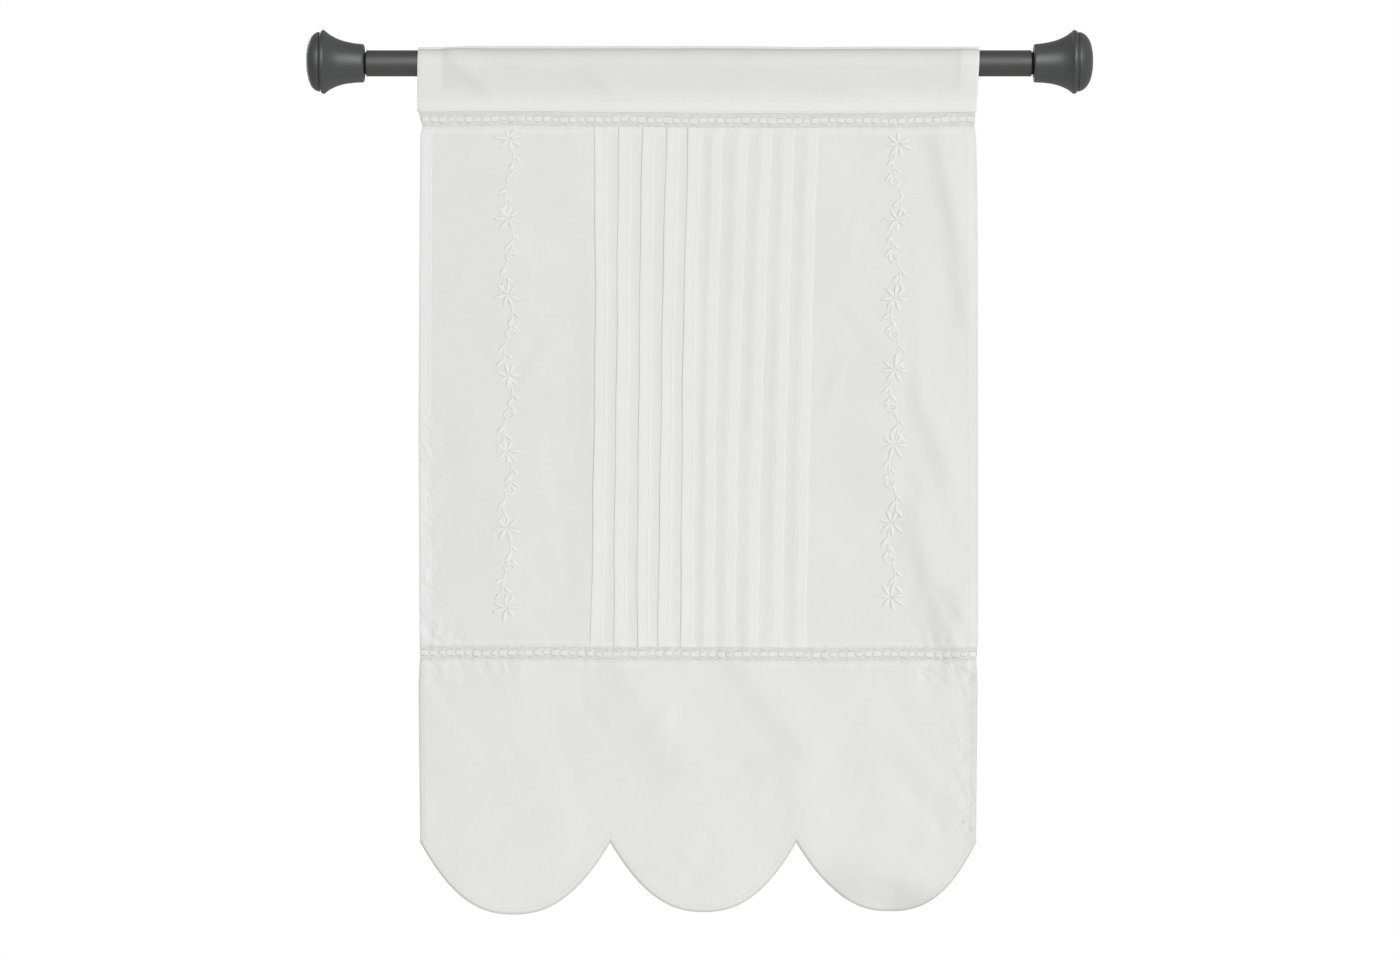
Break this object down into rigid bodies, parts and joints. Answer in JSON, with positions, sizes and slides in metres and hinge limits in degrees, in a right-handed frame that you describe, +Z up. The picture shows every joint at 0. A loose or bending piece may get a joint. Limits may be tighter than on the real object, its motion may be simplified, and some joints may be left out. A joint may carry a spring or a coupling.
{
  "type": "cafe curtain on a curtain rod",
  "caption": "White cotton cafe curtain with pressed tucks, lace insertions and a scalloped hem, hanging by its rod pocket on a dark round rod with bell-shaped end caps.",
  "frame": {"origin": "on the rod's axis at the middle of its length", "axes": "+X along the rod to the right as seen from the front, +Y from the front to the back, +Z up"},
  "size_m": [0.6324, 0.0512, 0.7098],
  "materials": {
    "cotton": "thin plain-weave cotton, slightly sheer",
    "lace": "cotton lace thread",
    "rod_lacquer": "satin dark grey lacquer",
    "cap_plastic": "satin moulded dark grey"
  },
  "bodies": {
    "root": {"rod": "rod_lacquer", "end_cap_left": "cap_plastic", "end_cap_right": "cap_plastic", "heading": "cotton", "upper_lace": "lace", "main_panel": "cotton", "lower_lace": "lace", "valance": "cotton"}
  },
  "joints": []
}
